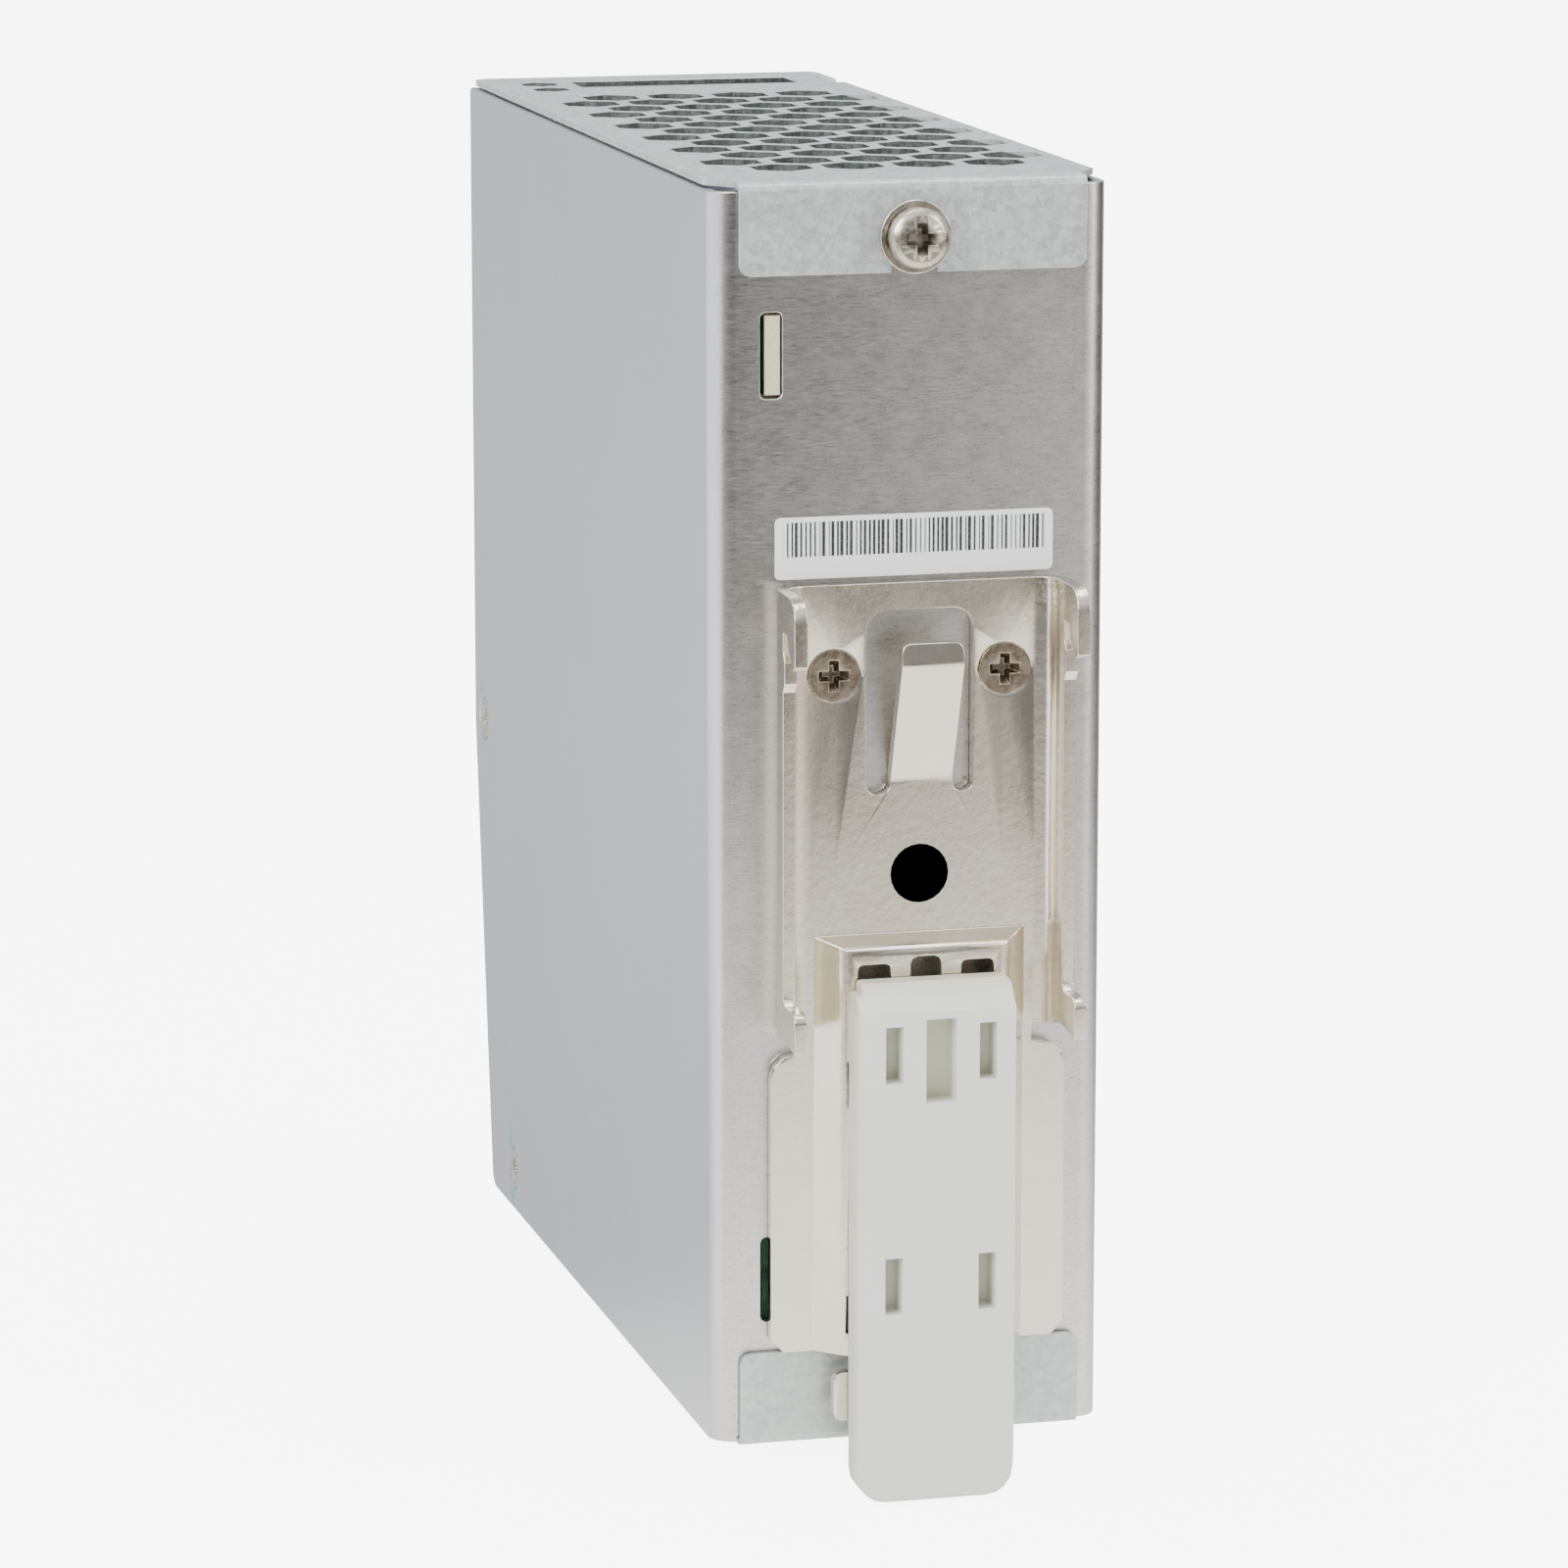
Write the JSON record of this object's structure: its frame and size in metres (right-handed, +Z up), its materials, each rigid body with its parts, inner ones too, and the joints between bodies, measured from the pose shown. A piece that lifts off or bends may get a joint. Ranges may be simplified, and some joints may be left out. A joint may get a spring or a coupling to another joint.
{
  "type": "din rail power supply",
  "caption": "Slim perforated sheet-metal power supply with a sprung rail clip on its back and screw terminals on its front.",
  "frame": {"origin": "on the mounting rail's centre line, in the plane where the rail touches the clip's side walls, midway across the case", "axes": "+Z up the case, +Y out of the back towards the rail, X along the rail"},
  "size_m": [0.04, 0.1243, 0.1301],
  "materials": {
    "chassis_aluminium": "satin, brushed",
    "galvanised_steel": "galvanised sheet, mottled",
    "nickel_plate": "nickel plated, slightly tarnished",
    "natural_nylon": "milky moulded nylon",
    "spring_steel": "bright wire",
    "nickel_screw": "nickel plated",
    "label_film": "printed film",
    "board_laminate": "green solder mask",
    "black_plastic": "moulded, fine grain",
    "insulating_film": "smooth film",
    "tinned_cage": "tin plated",
    "blue_plastic": "moulded",
    "white_plastic": "moulded",
    "green_lens": "tinted lens",
    "ferrite": "sintered, dull",
    "enamelled_copper": "enamelled wire",
    "winding_tape": "polyester tape",
    "film_capacitor_box": "moulded box",
    "capacitor_sleeve": "shrink sleeve",
    "heatsink_aluminium": "extruded",
    "ceramic_disc": "dipped coating",
    "fuse_body": "ceramic tube"
  },
  "bodies": {
    "case": {"chassis": "chassis_aluminium", "cover": "galvanised_steel", "rail_clip": "nickel_plate", "latch_spring": "spring_steel", "serial_label": "label_film", "front_label": "label_film", "main_board": "board_laminate", "insulating_sheet": "insulating_film", "dc_terminal_board": "board_laminate", "ac_terminal_board": "board_laminate", "dc_terminal_housing": "black_plastic", "ac_terminal_housing": "black_plastic", "voltage_trimmer_body": "blue_plastic", "dc_ok_led": "green_lens", "fuse": "fuse_body", "inrush_thermistor": "ferrite", "line_choke": "enamelled_copper", "x_capacitor": "film_capacitor_box", "bridge_rectifier": "black_plastic", "bulk_capacitor": "capacitor_sleeve", "primary_heatsink": "heatsink_aluminium", "switching_transistor": "black_plastic", "transformer_core": "ferrite", "transformer_coil": "winding_tape", "secondary_heatsink": "heatsink_aluminium", "output_rectifier": "black_plastic", "output_choke": "enamelled_copper", "safety_capacitor_1": "ceramic_disc", "safety_capacitor_2": "ceramic_disc", "optocoupler": "white_plastic", "control_chip": "black_plastic", "cover_screw": "nickel_screw", "cover_washer": "nickel_screw", "clip_screw_left": "nickel_screw", "clip_screw_right": "nickel_screw", "clip_screw_lower": "nickel_screw", "side_screw_upper_left": "nickel_screw", "side_screw_lower_left": "nickel_screw", "side_screw_upper_right": "nickel_screw", "side_screw_lower_right": "nickel_screw", "output_capacitor_1": "capacitor_sleeve", "output_capacitor_2": "capacitor_sleeve", "output_capacitor_3": "capacitor_sleeve"},
    "latch": {"latch_slider": "natural_nylon"},
    "trimmer_rotor": {"voltage_trimmer_rotor": "white_plastic"},
    "dc_screw_1": {"dc_terminal_screw_1": "nickel_screw"},
    "dc_cage_1": {"dc_terminal_cage_1": "tinned_cage"},
    "dc_screw_2": {"dc_terminal_screw_2": "nickel_screw"},
    "dc_cage_2": {"dc_terminal_cage_2": "tinned_cage"},
    "dc_screw_3": {"dc_terminal_screw_3": "nickel_screw"},
    "dc_cage_3": {"dc_terminal_cage_3": "tinned_cage"},
    "dc_screw_4": {"dc_terminal_screw_4": "nickel_screw"},
    "dc_cage_4": {"dc_terminal_cage_4": "tinned_cage"},
    "ac_screw_1": {"ac_terminal_screw_1": "nickel_screw"},
    "ac_cage_1": {"ac_terminal_cage_1": "tinned_cage"},
    "ac_screw_2": {"ac_terminal_screw_2": "nickel_screw"},
    "ac_cage_2": {"ac_terminal_cage_2": "tinned_cage"},
    "ac_screw_3": {"ac_terminal_screw_3": "nickel_screw"},
    "ac_cage_3": {"ac_terminal_cage_3": "tinned_cage"}
  },
  "joints": [
    {"name": "latch_slide", "type": "slide", "parent": "case", "child": "latch", "axis": [0, 0, -1], "range_m": [0, 0.0035], "stiffness_N_per_m": 1500, "springref_m": -0.0015, "deforming": ["latch_spring"]},
    {"name": "voltage_trim", "type": "hinge", "parent": "case", "child": "trimmer_rotor", "pos_m": [0.0084, -0.1173, 0.0263], "axis": [0, 1, 0], "range_deg": [-130, 130]},
    {"name": "dc_screw_turn_1", "type": "hinge", "parent": "case", "child": "dc_screw_1", "pos_m": [0.0069, -0.1181, 0.0474], "axis": [0, 1, 0], "range_deg": [0, 1260]},
    {"name": "dc_cage_lift_1", "type": "slide", "parent": "case", "child": "dc_cage_1", "axis": [0, -1, 0], "range_m": [0, 0.00175]},
    {"name": "dc_screw_turn_2", "type": "hinge", "parent": "case", "child": "dc_screw_2", "pos_m": [0.0008, -0.1181, 0.0474], "axis": [0, 1, 0], "range_deg": [0, 1260]},
    {"name": "dc_cage_lift_2", "type": "slide", "parent": "case", "child": "dc_cage_2", "axis": [0, -1, 0], "range_m": [0, 0.00175]},
    {"name": "dc_screw_turn_3", "type": "hinge", "parent": "case", "child": "dc_screw_3", "pos_m": [-0.0053, -0.1181, 0.0474], "axis": [0, 1, 0], "range_deg": [0, 1260]},
    {"name": "dc_cage_lift_3", "type": "slide", "parent": "case", "child": "dc_cage_3", "axis": [0, -1, 0], "range_m": [0, 0.00175]},
    {"name": "dc_screw_turn_4", "type": "hinge", "parent": "case", "child": "dc_screw_4", "pos_m": [-0.0114, -0.1181, 0.0474], "axis": [0, 1, 0], "range_deg": [0, 1260]},
    {"name": "dc_cage_lift_4", "type": "slide", "parent": "case", "child": "dc_cage_4", "axis": [0, -1, 0], "range_m": [0, 0.00175]},
    {"name": "ac_screw_turn_1", "type": "hinge", "parent": "case", "child": "ac_screw_1", "pos_m": [0.00595, -0.1125, -0.0518], "axis": [0, 1, 0], "range_deg": [0, 1260]},
    {"name": "ac_cage_lift_1", "type": "slide", "parent": "case", "child": "ac_cage_1", "axis": [0, -1, 0], "range_m": [0, 0.00175]},
    {"name": "ac_screw_turn_2", "type": "hinge", "parent": "case", "child": "ac_screw_2", "pos_m": [-0.00225, -0.1125, -0.0518], "axis": [0, 1, 0], "range_deg": [0, 1260]},
    {"name": "ac_cage_lift_2", "type": "slide", "parent": "case", "child": "ac_cage_2", "axis": [0, -1, 0], "range_m": [0, 0.00175]},
    {"name": "ac_screw_turn_3", "type": "hinge", "parent": "case", "child": "ac_screw_3", "pos_m": [-0.01045, -0.1125, -0.0518], "axis": [0, 1, 0], "range_deg": [0, 1260]},
    {"name": "ac_cage_lift_3", "type": "slide", "parent": "case", "child": "ac_cage_3", "axis": [0, -1, 0], "range_m": [0, 0.00175]}
  ],
  "couplings": [
    {"joint": "dc_screw_turn_1", "follows": "dc_cage_lift_1", "rad_per_m": 12566},
    {"joint": "dc_screw_turn_2", "follows": "dc_cage_lift_2", "rad_per_m": 12566},
    {"joint": "dc_screw_turn_3", "follows": "dc_cage_lift_3", "rad_per_m": 12566},
    {"joint": "dc_screw_turn_4", "follows": "dc_cage_lift_4", "rad_per_m": 12566},
    {"joint": "ac_screw_turn_1", "follows": "ac_cage_lift_1", "rad_per_m": 12566},
    {"joint": "ac_screw_turn_2", "follows": "ac_cage_lift_2", "rad_per_m": 12566},
    {"joint": "ac_screw_turn_3", "follows": "ac_cage_lift_3", "rad_per_m": 12566}
  ]
}
